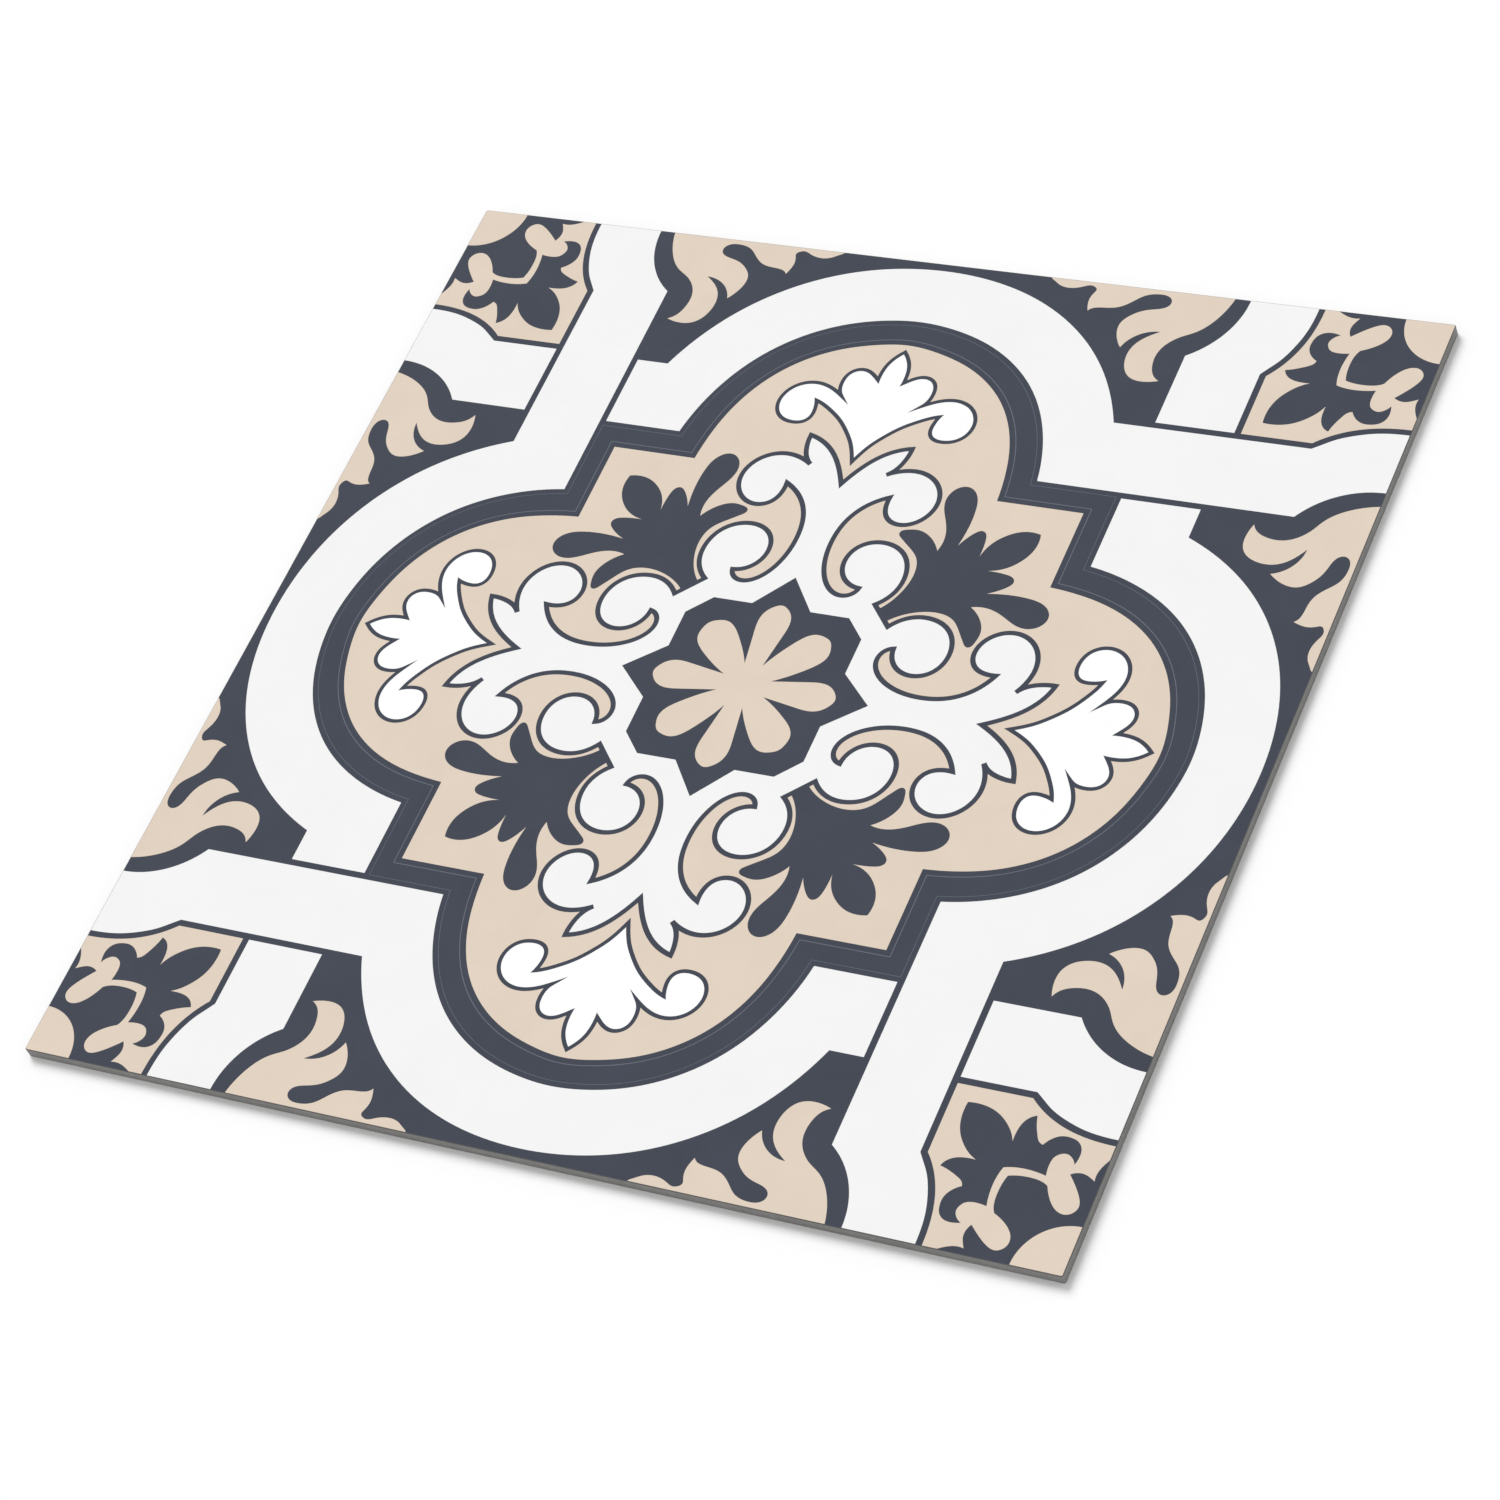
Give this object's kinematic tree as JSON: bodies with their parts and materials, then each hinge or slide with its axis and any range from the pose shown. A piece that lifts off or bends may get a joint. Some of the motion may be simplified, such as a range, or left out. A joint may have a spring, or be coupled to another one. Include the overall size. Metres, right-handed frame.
{
  "type": "vinyl floor tile",
  "caption": "Square vinyl floor tile: a thin flat slab with straight cut edges, printed with interlaced straps, scrolls and palmettes, that is bonded to a floor beside others.",
  "frame": {"origin": "centre of the underside", "axes": "+Z out of the printed face, +X and +Y along the straight edges"},
  "size_m": [0.3, 0.3, 0.0032],
  "materials": {
    "vinyl": "satin"
  },
  "bodies": {
    "root": {"tile": "vinyl"}
  },
  "joints": []
}
